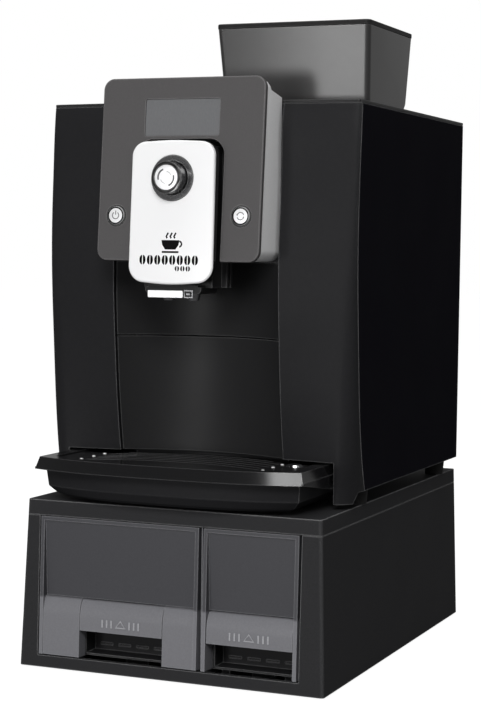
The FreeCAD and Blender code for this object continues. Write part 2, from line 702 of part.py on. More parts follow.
def curved_slot(centre, half, width, z0, z1):
    def arc(shift):
        ends = column_parallel(half, centre) + shift
        return (V(-half, ends, z0), V(0, centre + shift, z0), V(half, ends, z0))
    a, b, c = arc(-width / 2)
    d, e, f = arc(width / 2)
    wire = Part.Wire([Part.Arc(a, b, c).toShape(),
                      Part.Arc(c, c + V(width / 2, width / 2, 0), f).toShape(),
                      Part.Arc(f, e, d).toShape(),
                      Part.Arc(d, a + V(-width / 2, width / 2, 0), a).toShape()])
    return prism(wire, V(0, 0, z1 - z0))


def make_grate():
    z0, z1 = RIM_TOP - GRATE_T - 1.0, RIM_TOP - 1.0
    wing_y = -133.0
    inner = WING_INNER - 1.5
    side_y = -121.5
    shares = [-1, -0.88, -0.6, -0.3, 0, 0.3, 0.6, 0.88, 1]
    front_points = [V(GRATE_HALF * s, bow(s, TRAY_CORNER + 13.6, TRAY_FRONT + 15.2), z0)
                    for s in shares]
    front = Part.BSplineCurve()
    front.interpolate(front_points)
    right = [front_points[-1], V(GRATE_HALF, wing_y, z0), V(inner, wing_y, z0), V(inner, side_y, z0)]
    left = [V(-inner, side_y, z0), V(-inner, wing_y, z0), V(-GRATE_HALF, wing_y, z0), front_points[0]]
    arc = Part.Arc(right[-1], V(0, COLUMN_CENTRE - 2.0, z0), left[0])
    lines = [Part.LineSegment(a, b).toShape()
             for path in (right, left) for a, b in zip(path, path[1:])]
    plate = prism(Part.Wire(Part.__sortEdges__([front.toShape(), arc.toShape()] + lines)),
                  V(0, 0, GRATE_T))
    slots = [curved_slot(-121.0 - 11.7 * i, 82, 4.4, z0 - 1, z1 + 1) for i in range(5)]
    slots.append(curved_slot(-110.4, 70, 3.6, z0 - 1, z1 + 1))
    float_hole = cylinder(FLOAT_R + 0.7, V(FLOAT_X, FLOAT_Y, z0 - 1), Z_AXIS, GRATE_T + 2)
    save("drip_grate", cut(plate, slots + [float_hole]))

    cap = Part.makeCone(FLOAT_R, FLOAT_R - 2, 2.2, V(FLOAT_X, FLOAT_Y, z1 - 0.6), Z_AXIS)
    stem = cylinder(FLOAT_R, V(FLOAT_X, FLOAT_Y, z1 - 16), Z_AXIS, 15.4)
    save("tray_float", fuse([stem, cap]))


# ---------------------------------------------------------------- control block
def tilt(shape):
    """Lean the control block's local parts back about the fascia's lower front edge."""
    return rotated(shape, V(0, BEZEL_FRONT, BEZEL_BOTTOM), X_AXIS, BEZEL_TILT)


def slot_tool(half, top, y0, y1, corner):
    return plate_xz(-half, half, BEZEL_BOTTOM - 20, top, y0, y1, [0, 0, corner, corner])


def make_control_block():
    top = BEZEL_BOTTOM + BEZEL_HEIGHT
    plate = plate_xz(-BEZEL_HALF, BEZEL_HALF, BEZEL_BOTTOM, top, BEZEL_FRONT,
                     BEZEL_FRONT + FASCIA_T, [BEZEL_CORNER] * 4)
    plate = fillet_where(plate, 1.2, lambda e: e.BoundBox.YMax < BEZEL_FRONT + 0.01)
    window_hole = plate_xz(-WINDOW_HALF, WINDOW_HALF, BEZEL_BOTTOM + WINDOW_LOW,
                           BEZEL_BOTTOM + WINDOW_HIGH, BEZEL_FRONT - 1, BEZEL_FRONT + 9, [1.5] * 4)
    button_z = BEZEL_BOTTOM + BUTTON_Z
    button_holes = [cylinder(BUTTON_R + 1.6, V(x, BEZEL_FRONT - 1, button_z), Y_AXIS, 9)
                    for x in (-BUTTON_X, BUTTON_X)]
    fascia = tilt(cut(plate, [window_hole] + button_holes))
    slot = slot_tool(SLOT_HALF, SLOT_TOP, BEZEL_FRONT - 20, BRIDGE_FRONT, 15)
    save("bezel_fascia", cut(fascia, [slot]))

    # display window, 0.6 mm behind the fascia's face
    window = plate_xz(-WINDOW_HALF + 0.2, WINDOW_HALF - 0.2, BEZEL_BOTTOM + WINDOW_LOW + 0.2,
                      BEZEL_BOTTOM + WINDOW_HIGH - 0.2, BEZEL_FRONT + 0.6, BEZEL_FRONT + 3,
                      [1.4] * 4)
    save("display_window", tilt(window))

    # housing behind the fascia: a ring of walls with the spout's slot walls
    half = BEZEL_HALF - 0.7
    low = BEZEL_BOTTOM + 0.6
    slope = math.tan(math.radians(-BEZEL_TILT))
    front_low = BEZEL_FRONT + FASCIA_T + 0.5
    front_high = front_low + slope * 158
    rear = BRIDGE_FRONT - 0.3
    outer = profile_yz([(front_low, low), (front_high, low + 158), (front_high + 3, low + 157.5),
                        (front_high + 9, 523), (rear, 518.4), (rear, low)], -half, half)
    outline = plate_xz(-half, half, low, low + 160, -200, -100, [BEZEL_CORNER] * 4)
    inner = profile_yz([(front_low - 5, low + WALL), (front_high - 5, low + 154.5),
                        (front_high + 1, low + 154.5), (front_high + 8, 520), (rear + 2, 515.4),
                        (rear + 2, low + WALL)], -half + WALL, half - WALL)
    slot_wall = slot_tool(SLOT_HALF + WALL, SLOT_TOP + WALL, -200, -100, 18)
    housing = cut(outer.common(outline), [inner.cut(slot_wall)])
    housing = cut(housing, [slot_tool(SLOT_HALF, SLOT_TOP, -200, -100, 15)])
    rail = box(CARRIAGE_HALF + 2.6, SLOT_HALF + 0.6, -152.2, -148.0, BEZEL_BOTTOM + 1, 478)
    save("bezel_housing", fuse([housing, rail, mirror_x(rail)]))

    board = box(-60, 60, -160, -158.4, 486, 515)
    module = box(-34, 34, -163.4, -160, 488, 512)
    posts = [cylinder(2.5, V(x, -158.4, 500), Y_AXIS, 158.4 + BRIDGE_FRONT - 0.4)
             for x in (-54, 54)]
    switches = [tilt(box(x - 5, x + 5, BEZEL_FRONT + 10.5, BEZEL_FRONT + 15, button_z - 5,
                         button_z + 5)) for x in (-BUTTON_X, BUTTON_X)]
    save("control_board", fuse([board, module] + posts), *switches)

    rings = []
    for x in (-BUTTON_X, BUTTON_X):
        collar = ring(BUTTON_R + 1.5, BUTTON_R + 0.35, V(x, BEZEL_FRONT - 0.7, button_z), Y_AXIS, 4.5)
        rings.append(tilt(collar))
    save("button_rings", *rings)
    for name, x in (("power_button", -BUTTON_X), ("menu_button", BUTTON_X)):
        cap = cylinder(BUTTON_R, V(x, BEZEL_FRONT - 1.6, button_z), Y_AXIS, 5)
        cap = fillet_where(cap, 0.7, lambda e: e.BoundBox.YMax < BEZEL_FRONT - 1.5)
        stem = cylinder(2.5, V(x, BEZEL_FRONT + 3.3, button_z), Y_AXIS, 5.5)
        save(name, tilt(fuse([cap, stem])))


# ---------------------------------------------------------------- spout
def make_spout():
    # white cover plate: a shallow shell that leans back, deepest at its top
    pivot = V(0, COVER_FRONT, KNOB_Z)
    corners = [V(-COVER_HALF_LOW, COVER_FRONT, COVER_LOW + 2), V(0, COVER_FRONT, COVER_LOW - 1.4),
               V(COVER_HALF_LOW, COVER_FRONT, COVER_LOW + 2),
               V(COVER_HALF_HIGH, COVER_FRONT, COVER_HIGH - 1.2), V(0, COVER_FRONT, COVER_HIGH + 0.7),
               V(-COVER_HALF_HIGH, COVER_FRONT, COVER_HIGH - 1.2)]
    depth = V(0, COVER_BACK - COVER_FRONT + 8, 0)
    block = prism(round_outline(corners, [15, 200, 15, 13, 200, 13]), depth)
    block = fillet_where(block, 2.0, lambda e: e.BoundBox.YMax < COVER_FRONT + 0.01)
    half = COVER_HALF_HIGH - COVER_WALL
    hollow = plate_xz(-half, half, COVER_LOW + COVER_WALL + 2, COVER_HIGH - COVER_WALL - 1.2,
                      COVER_FRONT + COVER_WALL, COVER_BACK + 20, [13, 13, 11, 11])
    knob_hole = cylinder(20.2, V(0, COVER_FRONT - 2, KNOB_Z), Y_AXIS, 10)
    leaning = rotated(cut(block, [hollow, knob_hole]), pivot, X_AXIS, COVER_LEAN)
    behind = profile_yz([(COVER_BACK_LOW, COVER_LOW - 5), (COVER_BACK, COVER_HIGH + 5),
                         (-140, COVER_HIGH + 5), (-140, COVER_LOW - 5)], -50, 50)
    save("spout_cover", cut(leaning, [behind]))

    # carriage with ribs that run on the two rails inside the control block
    body = box(-CARRIAGE_HALF, CARRIAGE_HALF, COVER_BACK + 0.2, CARRIAGE_BACK,
               CARRIAGE_LOW, CARRIAGE_HIGH)
    body = fillet_where(body, 4, lambda e: e.BoundBox.ZLength > 50 and e.BoundBox.YMin > -150)
    hollow = box(-CARRIAGE_HALF + 2.5, CARRIAGE_HALF - 2.5, COVER_BACK + 2.7, CARRIAGE_BACK - 2.5,
                 CARRIAGE_LOW + 2.5, CARRIAGE_HIGH + 1)
    ribs = []
    for y in (-156.0, -147.4):
        rib = box(CARRIAGE_HALF - 1, CARRIAGE_HALF + 5.6, y, y + 3.2, CARRIAGE_LOW, CARRIAGE_HIGH)
        ribs += [rib, mirror_x(rib)]
    shaft_hole = cylinder(9.4, V(0, COVER_BACK - 2, KNOB_Z), Y_AXIS, 8)
    # nose below the carriage, with two outlets and a bright strip across its front
    nose = plate_xz(-27, 27, 344.4, CARRIAGE_LOW + 0.5, -186.5, -150, [4, 4, 0, 0])
    neck = box(-24, 24, -186.5, COVER_BACK + 0.6, CARRIAGE_LOW, CARRIAGE_LOW + 2.2)
    cover_seat = box(-28, 28, -188, COVER_BACK + 0.6, 372, 420)
    carriage = fuse([cut(body, [hollow])] + ribs + [nose, neck, cover_seat])
    save("spout_carriage", cut(carriage, [shaft_hole]))
    nozzles = []
    for x in (-11.0, 13.0):
        outer = Part.makeCone(4.6, 6.4, 6.2, V(x, -170, 338.2), Z_AXIS)
        nozzles.append(outer.cut(cylinder(2.4, V(x, -170, 338), Z_AXIS, 8)))
    strip = plate_xz(-24, 10, 341.0, 347.4, -187.6, -186.7, [1, 1, 1, 1])
    save("spout_outlets", strip, *nozzles)

    # knob
    collar = rotated(ring(20.0, 15.2, pivot + V(0, -0.5, 0), Y_AXIS, 10.5), pivot, X_AXIS, COVER_LEAN)
    back_plate = ring(20.0, 3.4, pivot + V(0, 9.8, 0), Y_AXIS, 2.4)
    encoder = ring(9.0, 3.06, pivot + V(0, 12.0, 0), Y_AXIS, 14)
    save("knob_surround", fuse([collar, back_plate, encoder]))
    body = cylinder(KNOB_R, V(0, KNOB_FRONT + 1.2, KNOB_Z), Y_AXIS, COVER_FRONT + 9 - KNOB_FRONT - 1.2)
    stem = cylinder(3.0, V(0, COVER_FRONT + 9, KNOB_Z), Y_AXIS, 14)
    pocket = cylinder(11.3, V(0, KNOB_FRONT, KNOB_Z), Y_AXIS, 9)
    save("knob_body", cut(fuse([body, stem]), [pocket]))
    trim = ring(KNOB_R, 11.3, V(0, KNOB_FRONT, KNOB_Z), Y_AXIS, 1.2)
    save("knob_ring", fillet_where(trim, 0.5, lambda e: e.BoundBox.YMax < KNOB_FRONT + 0.01))
    cap = cylinder(11.0, V(0, KNOB_FRONT - 0.6, KNOB_Z), Y_AXIS, 6.5)
    save("knob_cap", fillet_where(cap, 0.8, lambda e: e.BoundBox.YMax < KNOB_FRONT - 0.5))


# ---------------------------------------------------------------- hopper and tank
def hopper_block(inset, z0, z1):
    def section(z):
        share = (z - HOPPER_BASE) / (HOPPER_TOP - HOPPER_BASE)
        x0, x1, y0, y1 = [a + (b - a) * share for a, b in zip(HOPPER_LOW, HOPPER_HIGH)]
        return round_rect_xy(x0 + inset, x1 - inset, y0 + inset, y1 - inset, z, 5 - inset / 2)
    return Part.makeLoft([section(z0), section(z1)], True, True)


def make_hopper():
    outer = hopper_block(0, HOPPER_BASE, HOPPER_TOP)
    rear_cut = profile_yz([(4.5, HOPPER_BASE - 5), (4.5, HOPPER_BASE), (14.0, HOPPER_BASE + 11.0),
                           (25, HOPPER_BASE + 11.0), (25, HOPPER_BASE - 5)], -10, 160)
    inner = hopper_block(HOPPER_WALL, HOPPER_BASE + HOPPER_WALL, HOPPER_TOP + 1)
    rear_inner = profile_yz([(2.4, HOPPER_BASE - 5), (2.4, HOPPER_BASE + 1.5), (11.6, HOPPER_BASE + 12.2),
                             (25, HOPPER_BASE + 12.2), (25, HOPPER_BASE - 5)], -10, 160)
    throat = cylinder(THROAT_R, V(THROAT.x, THROAT.y, HOPPER_BASE - 5), Z_AXIS, 20)
    spigot = ring(THROAT_R + 2.4, THROAT_R, V(THROAT.x, THROAT.y, TOP - CAP_T - 3), Z_AXIS, CAP_T + 5)
    body = cut(cut(outer, [rear_cut]), [cut(inner, [rear_inner])])

    # sloping floor that leads the beans to the throat
    base = HOPPER_BASE + HOPPER_WALL - 0.3
    slope_block = box(14, 142, -91, 2, base, base + 16)
    funnel = Part.makeLoft([round_rect_xy(THROAT.x - 19, THROAT.x + 19, THROAT.y - 19, THROAT.y + 19,
                                          base - 0.2, 8),
                            round_rect_xy(15.5, 140.5, -89.5, 0.5, base + 16.2, 8)], True, True)
    save("hopper_body", cut(fuse([body, spigot, slope_block.cut(funnel)]), [throat]))

    x0, x1, y0, y1 = HOPPER_HIGH
    lid = prism(round_rect_xy(x0 - 0.4, x1 + 0.4, y0 - 0.6, y1 + 0.6, HOPPER_TOP + 0.3, 5.2),
                V(0, 0, 4.3))
    lid = fillet_where(lid, 1.2, lambda e: e.BoundBox.ZMin > HOPPER_TOP + 4.5)
    outer_skirt = round_rect_xy(x0 + 3.6, x1 - 3.6, y0 + 3.6, y1 - 3.6, HOPPER_TOP - 8, 4)
    inner_skirt = round_rect_xy(x0 + 5.4, x1 - 5.4, y0 + 5.4, y1 - 5.4, HOPPER_TOP - 8, 3)
    skirt = prism(outer_skirt, V(0, 0, 9)).cut(prism(inner_skirt, V(0, 0, 8.3)))
    save("hopper_lid", fuse([lid, skirt]))


def make_tank():
    x0, x1, y0, y1 = TANK
    outer = box(x0, x1, y0, y1, TANK_LOW, TANK_HIGH)
    outer = fillet_where(outer, 8, lambda e: e.BoundBox.ZLength > 100)
    inner = box(x0 + 2.5, x1 - 2.5, y0 + 2.5, y1 - 2.5, TANK_LOW + 2.5, TANK_HIGH + 1)
    inner = fillet_where(inner, 6, lambda e: e.BoundBox.ZLength > 100)
    nipple = cylinder(7, V(-77, 105, TANK_LOW - 3), Z_AXIS, 6)
    hinge_y, hinge_z = TANK_HINGE
    ears = [box(left, right, y1 - 3.2, y1 + 2, TANK_HIGH - 5, hinge_z + 2.2) for left, right in TANK_EARS]
    start, span = TANK_EARS[0][0], TANK_EARS[1][1] - TANK_EARS[0][0]
    bore = cylinder(HINGE_PIN_R + PIN_CLEARANCE, V(start - 1, hinge_y, hinge_z), X_AXIS, span + 2)
    tank = cut(fuse([outer, nipple]), [inner])
    save("water_tank", cut(fuse([tank] + ears), [bore]))
    lid = box(x0 - 2, x1 + 2, y0 - 2, y1 + 1.6, TANK_HIGH + 3.6, TOP + 1.8)
    lid = fillet_where(lid, 7, lambda e: e.BoundBox.ZLength > 4 and e.BoundBox.XLength < 1)
    grip = box(-95, -59, 26, 44, TOP - 0.6, TOP + 4)
    notches = [box(left - 0.5, right + 0.5, y1 - 4.1, y1 + 3, TANK_HIGH, TOP + 4)
               for left, right in TANK_EARS]
    pin = cylinder(HINGE_PIN_R, V(start + 0.2, hinge_y, hinge_z), X_AXIS, span - 0.4)
    save("tank_lid", fuse([cut(lid, [grip] + notches), pin]))


# ---------------------------------------------------------------- works inside the machine
def make_grinder():
    low, high = 440.0, TOP - CAP_T - 4.0
    centre = V(THROAT.x, THROAT.y, 0)
    shell = cylinder(40, centre + V(0, 0, low), Z_AXIS, high - low)
    room = cylinder(35, centre + V(0, 0, low + 5), Z_AXIS, high - low - 9)
    mouth = cylinder(THROAT_R, centre + V(0, 0, high - 6), Z_AXIS, 10)
    chute = box(THROAT.x - 62, THROAT.x - 30, THROAT.y - 10, THROAT.y + 10, low, low + 20)
    chute_bore = box(THROAT.x - 64, THROAT.x - 28, THROAT.y - 8, THROAT.y + 8, low + 5, low + 18)
    bore = cylinder(SHAFT_R + 0.06, centre + V(0, 0, low - 1), Z_AXIS, 8)
    housing = cut(fuse([shell, chute]), [room, chute_bore, mouth, bore])
    carrier = ring(34.8, 30, centre + V(0, 0, low + 28), Z_AXIS, 24)
    cone = Part.makeCone(26, 18, 24, centre + V(0, 0, low + 28), Z_AXIS)
    block = cylinder(31, centre + V(0, 0, low + 28), Z_AXIS, 24)
    save("grinder_housing", housing, fuse([carrier, block]).cut(cone))
    teeth = Part.makeCone(25.2, 15.5, 22, centre + V(0, 0, low + 29), Z_AXIS)
    grooves = []
    for i in range(12):
        groove = box(-1.0, 1.0, 13, 30, low + 28, low + 54)
        groove.rotate(V(0, 0, low), V(0, 1, 0), 6)
        groove.rotate(V(0, 0, 0), Z_AXIS, 30 * i)
        grooves.append(moved(groove, centre))
    disc = cylinder(28, centre + V(0, 0, low + 8), Z_AXIS, 6)
    shaft = cylinder(SHAFT_R, centre + V(0, 0, 372), Z_AXIS, low + 29 - 372)
    save("lower_burr", fuse([teeth.cut(grooves), disc, shaft]))
    motor = cylinder(31, centre + V(0, 0, 368), Z_AXIS, 66)
    bell = cylinder(24, centre + V(0, 0, 360), Z_AXIS, 8)
    bracket = box(THROAT.x - 46, THROAT.x + 46, THROAT.y - 36, THROAT.y + 36, 434, 437)
    motor_bore = cylinder(SHAFT_R + 0.06, centre + V(0, 0, 371), Z_AXIS, 80)
    save("grinder_motor", cut(fuse([motor, bell, bracket]), [motor_bore]))


def make_brew_unit():
    bottom, top = 306.0, 430.0
    base = box(-72, 12, -88, -2, bottom, bottom + 4)
    roof = box(-72, 12, -88, -2, top - 4, top)
    back = box(-72, 12, -5, -2, bottom, top)
    posts = [cylinder(3, V(x, -82, bottom), Z_AXIS, top - bottom) for x in (-66, 6)]
    drop = cylinder(22, V(BREW.x, BREW.y, bottom - 1), Z_AXIS, 6)
    bores = cylinder(SCREW_R + 0.06, V(SCREW.x, SCREW.y, bottom - 1), Z_AXIS, top - bottom + 2)
    frame = cut(fuse([base, roof, back] + posts), [drop, bores])
    head = cylinder(19, V(BREW.x, BREW.y, 392), Z_AXIS, top - 4 - 392)
    seal = ring(19.3, 17, V(BREW.x, BREW.y, 396), Z_AXIS, 4)
    save("brew_frame", frame, fuse([head, seal]))
    cup = cylinder(26, V(BREW.x, BREW.y, 326), Z_AXIS, 44)
    ear = box(SCREW.x - 9, SCREW.x + 9, BREW.y + 20, SCREW.y + 7, 338, 352)
    bore = cylinder(19.8, V(BREW.x, BREW.y, 332), Z_AXIS, 50)
    screw_bore = cylinder(SCREW_R + 0.06, V(SCREW.x, SCREW.y, 330), Z_AXIS, 40)
    save("brew_chamber", cut(fuse([cup, ear]), [bore, screw_bore]))
    screw = cylinder(SCREW_R, V(SCREW.x, SCREW.y, bottom + 0.5), Z_AXIS, top + 12 - bottom)
    save("lead_screw", screw)
    can = cylinder(15, V(SCREW.x, SCREW.y, top + 0.2), Z_AXIS, 46)
    flat = box(SCREW.x - 20, SCREW.x + 20, SCREW.y - 14, SCREW.y + 10, top + 0.2, top + 8)
    seat = cylinder(SCREW_R + 0.06, V(SCREW.x, SCREW.y, top), Z_AXIS, 14)
    save("brew_motor", cut(fuse([can, flat]), [seat]))


def make_water_parts():
    tank_x, tank_y = -112.0, -40.0
    drum = cylinder(26, V(tank_x, tank_y, 330), Z_AXIS, 110)
    caps = [cylinder(29, V(tank_x, tank_y, z), Z_AXIS, 6) for z in (326, 438)]
    ports = [cylinder(4, V(tank_x, tank_y, z), Z_AXIS, 14) for z in (314, 442)]
    strap = box(tank_x - 12, tank_x + 12, tank_y + 20, 13.6, 376, 390)
    save("boiler", fuse([drum, strap] + caps + ports))
    pump_y, pump_z = 60.0, 200.0
    barrel = cylinder(19, V(66, pump_y, pump_z), X_AXIS, 50)
    coil = box(76, 106, pump_y - 23, pump_y + 23, pump_z - 22, pump_z + 22)
    stems = [cylinder(5, V(x, pump_y, pump_z), X_AXIS, 22) for x in (46, 114)]
    cradle = box(70, 112, pump_y - 20, pump_y + 20, SIDE_BOTTOM + FLOOR_T, pump_z - 20)
    pump = fuse([barrel, coil, cradle] + stems)
    route = [V(45.6, pump_y, pump_z), V(10, pump_y, pump_z), V(10, pump_y, 300), V(10, 20, 300)]
    save("water_pump", pump, pipe(route, 3.2))


def pipe(points, radius):
    """Round bar along straight runs joined by tangent arcs."""
    bend = 12.0
    edges = []
    leave = points[0]
    for before, corner, after in zip(points, points[1:], points[2:]):
        back = (before - corner).normalize()
        ahead = (after - corner).normalize()
        start, end = corner + back * bend, corner + ahead * bend
        middle = corner + (back + ahead).normalize() * (bend * (math.sqrt(2) - 1))
        edges.append(Part.LineSegment(leave, start).toShape())
        edges.append(Part.Arc(start, middle, end).toShape())
        leave = end
    edges.append(Part.LineSegment(leave, points[-1]).toShape())
    path = Part.Wire(edges)
    first_run = (points[1] - points[0]).normalize()
    profile = Part.Wire(Part.Circle(points[0], first_run, radius).toShape())
    return path.makePipeShell([profile], True, False)


def make_electrics():
    board = box(24, 140, 176, 177.6, 290, 392)
    parts = [box(34, 66, 156, 176, 300, 336), box(78, 104, 160, 176, 304, 330),
             box(112, 132, 164, 176, 300, 352), box(36, 96, 166, 176, 350, 384)]
    posts = [cylinder(3, V(x, 177.6, z), Y_AXIS, BACK - 2.6 - 177.6) for x in (30, 134) for z in (296, 386)]
    save("power_board", fuse([board] + parts + posts))
    flange = plate_xz(76, 114, 200, 230, BACK, BACK + 2.2, [3] * 4)
    shell = box(81.4, 108.6, BACK - 16, BACK, 204.4, 225.6)
    socket = plate_xz(84, 106, 207, 223, BACK - 13, BACK + 3, [5, 5, 1, 1])
    pins = [box(x - 1, x + 1, BACK - 13.5, BACK - 1, 213, 219) for x in (89, 101)]
    pins.append(box(94, 96, BACK - 13.5, BACK - 1, 209.5, 215.5))
    inlet = fuse([fuse([flange, shell]).cut(socket)] + pins)
    frame = box(82, 108, BACK, BACK + 2, 238, 270)
    well = box(84.4, 105.6, BACK - 14, BACK + 0.1, 240.4, 267.6)
    room = box(86, 104, BACK - 11, BACK + 3, 242, 266)
    pivot = V(84, BACK - 5, 254)
    pivot_bore = cylinder(1.4 + PIN_CLEARANCE, pivot, X_AXIS, 22)
    save("mains_inlet", inlet, cut(fuse([frame, well]), [room, pivot_bore]))
    rocker = profile_yz([(BACK - 7, 254 - 5), (BACK + 1.0, 254 - 10.6), (BACK + 3.4, 254 - 10.0),
                         (BACK + 2.2, 254), (BACK + 3.4, 254 + 10.0), (BACK + 1.0, 254 + 10.6),
                         (BACK - 7, 254 + 5)], 86.5, 103.5)
    stubs = cylinder(1.4, pivot + V(0.8, 0, 0), X_AXIS, 20.4)
    save("power_rocker", fuse([rocker, stubs]))


# ---------------------------------------------------------------- build
def main():
    os.makedirs("parts", exist_ok=True)
    make_base()
    make_drawers()
    make_front_shell()
    make_side_panels()
    make_top_cover()
    make_rear_panel()
    make_floor()
    make_column()
    make_tray()
    make_control_block()
    make_spout()
    make_hopper()
    make_tank()
    make_grinder()
    make_brew_unit()
    make_water_parts()
    make_electrics()


main()
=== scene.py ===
import json
import math

import bmesh
import bpy
from mathutils import Matrix, Vector

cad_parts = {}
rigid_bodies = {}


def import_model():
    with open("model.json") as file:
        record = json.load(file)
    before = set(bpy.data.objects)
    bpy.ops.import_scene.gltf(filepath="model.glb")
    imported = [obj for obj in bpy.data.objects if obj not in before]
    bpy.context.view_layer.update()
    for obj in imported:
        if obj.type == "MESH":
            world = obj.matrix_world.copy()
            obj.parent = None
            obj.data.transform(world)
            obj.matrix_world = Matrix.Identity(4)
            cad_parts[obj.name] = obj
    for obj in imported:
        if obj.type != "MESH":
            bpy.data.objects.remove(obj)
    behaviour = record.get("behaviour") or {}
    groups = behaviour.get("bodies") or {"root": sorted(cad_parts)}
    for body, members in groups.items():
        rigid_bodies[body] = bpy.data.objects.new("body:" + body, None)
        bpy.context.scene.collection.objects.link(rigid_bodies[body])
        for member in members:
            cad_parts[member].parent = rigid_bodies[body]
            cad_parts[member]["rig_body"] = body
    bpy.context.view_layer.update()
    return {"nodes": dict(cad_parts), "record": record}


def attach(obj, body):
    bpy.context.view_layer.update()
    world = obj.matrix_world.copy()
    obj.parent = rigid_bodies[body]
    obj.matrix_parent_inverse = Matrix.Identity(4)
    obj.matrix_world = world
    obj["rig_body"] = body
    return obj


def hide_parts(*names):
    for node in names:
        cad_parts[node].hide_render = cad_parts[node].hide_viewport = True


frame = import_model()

NODES = frame["nodes"]
MM = 0.001

# camera: turn, dip and roll in degrees, place in metres, focal length for a picture 720 high
CAMERA_TURNS = (22.6428, 3.6723, 0.7244)
CAMERA_PLACE = (0.67139, -1.63986, 0.38975)
FOCAL, PICTURE_HEIGHT, SENSOR = 1823.635, 720, 36.0

# each light: name, place, the point it faces, width, height, watts
LIGHTS = (
    ("key", (0.9, -2.7, 1.9), (0, -0.1, 0.3), 1.0, 1.0, 55),
    ("fill", (-0.36, -2.5, 0.28), (0, -0.1, 0.35), 0.95, 0.62, 12),
    ("top", (0.1, -0.2, 2.4), (0, 0, 0.4), 1.2, 1.2, 12),
    ("glint", (-0.62, -2.5, 0.2), (0.1, -0.1, 0.5), 0.26, 0.45, 6),
)
# what surrounds the object goes from the front tone to the back one between these directions
AROUND_FRONT, AROUND_BACK = 0.28, 0.34
AROUND_START, AROUND_END = -0.1, 0.9
FLOOR_CORNERS = [(-9, -6, 0), (9, -6, 0), (9, 12, 0), (-9, 12, 0)]
FLOOR_TONE, FLOOR_GLOW = 0.26, 0.925

# the painted edge highlight shows where the rounded normal leaves the true one by these cosines
EDGE_RADIUS, EDGE_START, EDGE_END, EDGE_HIGHLIGHT_GAIN = 0.0014, 0.995, 0.94, 2.2
NOISE_LOW, NOISE_HIGH = 0.3, 0.7
GRAIN_DETAIL, GRAIN_HEIGHT = 3.0, 0.0004
BLOTCH_SCALE, BLOTCH_DETAIL = 14.0, 4.0
SMOOTHEST, DULLEST = 0.02, 1.0
# two tones of one surface meet over these lengths
LOWER_FADE, LOWER_REACH, BACK_FADE = 0.0008, 0.0012, 0.0003
# on the spout's outlets only the strip in front of this is bright
STRIP_BACK = -0.18

# clean copies: corners this close are one, faces this level are one
WELD, LEVEL_ANGLE = 2e-6, 0.4

# from here on, millimetres and degrees
# the fascia leans back about its lower front edge
BEZEL_FRONT, BEZEL_BOTTOM, BEZEL_TILT = -180.7, 373.0, -4.557
BUTTON_X, BUTTON_Z = 60.3, 412.9
BUTTON_FACE = BEZEL_FRONT - 1.6
BAND_RADIUS, BAND_WIDTH = 7.15, 1.3
POWER_RADIUS, RINSE_RADIUS, ICON_LINE = 3.1, 3.2, 0.7
# the white plate leans back about the knob's height
COVER_FRONT, COVER_LEAN = -190.2, -2.5
KNOB_Z, KNOB_FACE = 445.5, -203.4
# the push lips follow the lean of the drawer fronts: LIP_RUN back for LIP_RISE up
LIP_FRONT, LIP_FOOT, LIP_RUN, LIP_RISE = -191.6, -192.4, 4.9, 154.6
LIP_CENTRES = (("left", -46.65), ("right", 77.85))
MARK_Z, MARK_HALF, MARK_LINE, MARK_RELIEF = 46.6, 3.4, 1.5, 0.6
PRINT_DEPTH, KNOB_PRINT_DEPTH, PRINT_LINE = 0.06, 0.05, 1.5
# each row of beans: count, first x, spacing, z, half length, half width
BEAN_ROWS = ((8, -26.5, 7.2, 374.0, 4.2, 2.6), (3, 7.0, 5.2, 366.6, 2.3, 1.7))
BEAN_CREASE, BEAN_STEPS = 0.4, 12
GRATE_FACE, STUD_X, STUD_ROWS = 194.0, 88, (-188, -164, -142)
STUD_RADIUS, STUD_HEIGHT, STUD_LEVELS = 1.7, 0.9, (0.0, 0.45, 0.8)
LATCH_FACE = -186.5


# ---------------------------------------------------------------- nodes
def map_range(nodes, from_min, from_max, to_min, to_max):
    ramp = nodes.new("ShaderNodeMapRange")
    ramp.inputs["From Min"].default_value = from_min
    ramp.inputs["From Max"].default_value = from_max
    ramp.inputs["To Min"].default_value = to_min
    ramp.inputs["To Max"].default_value = to_max
    return ramp


def colour_mix(nodes, first, second):
    mix = nodes.new("ShaderNodeMix")
    mix.data_type = "RGBA"
    mix.inputs["A"].default_value = (*first, 1)
    mix.inputs["B"].default_value = (*second, 1)
    return mix


def noise(nodes, scale, detail):
    field = nodes.new("ShaderNodeTexNoise")
    field.inputs["Scale"].default_value = scale
    field.inputs["Detail"].default_value = detail
    return field


# ---------------------------------------------------------------- camera
def make_camera():
    yaw, pitch, roll = (math.radians(a) for a in CAMERA_TURNS)
    ahead = math.cos(pitch)
    forward = Vector((-math.sin(yaw) * ahead, math.cos(yaw) * ahead, -math.sin(pitch)))
    level = Vector((math.cos(yaw), math.sin(yaw), 0))
    above = level.cross(forward)
    right = level * math.cos(roll) + above * math.sin(roll)
    up = above * math.cos(roll) - level * math.sin(roll)
    data = bpy.data.cameras.new("camera")
    data.sensor_fit = "AUTO"
    data.sensor_width = SENSOR
    data.lens = FOCAL * SENSOR / PICTURE_HEIGHT
    data.clip_start, data.clip_end = 0.05, 60
    camera = bpy.data.objects.new("camera", data)
    bpy.context.scene.collection.objects.link(camera)
    axes = Matrix((right, up, -forward)).transposed().to_4x4()
    camera.matrix_world = Matrix.Translation(CAMERA_PLACE) @ axes
    bpy.context.scene.camera = camera


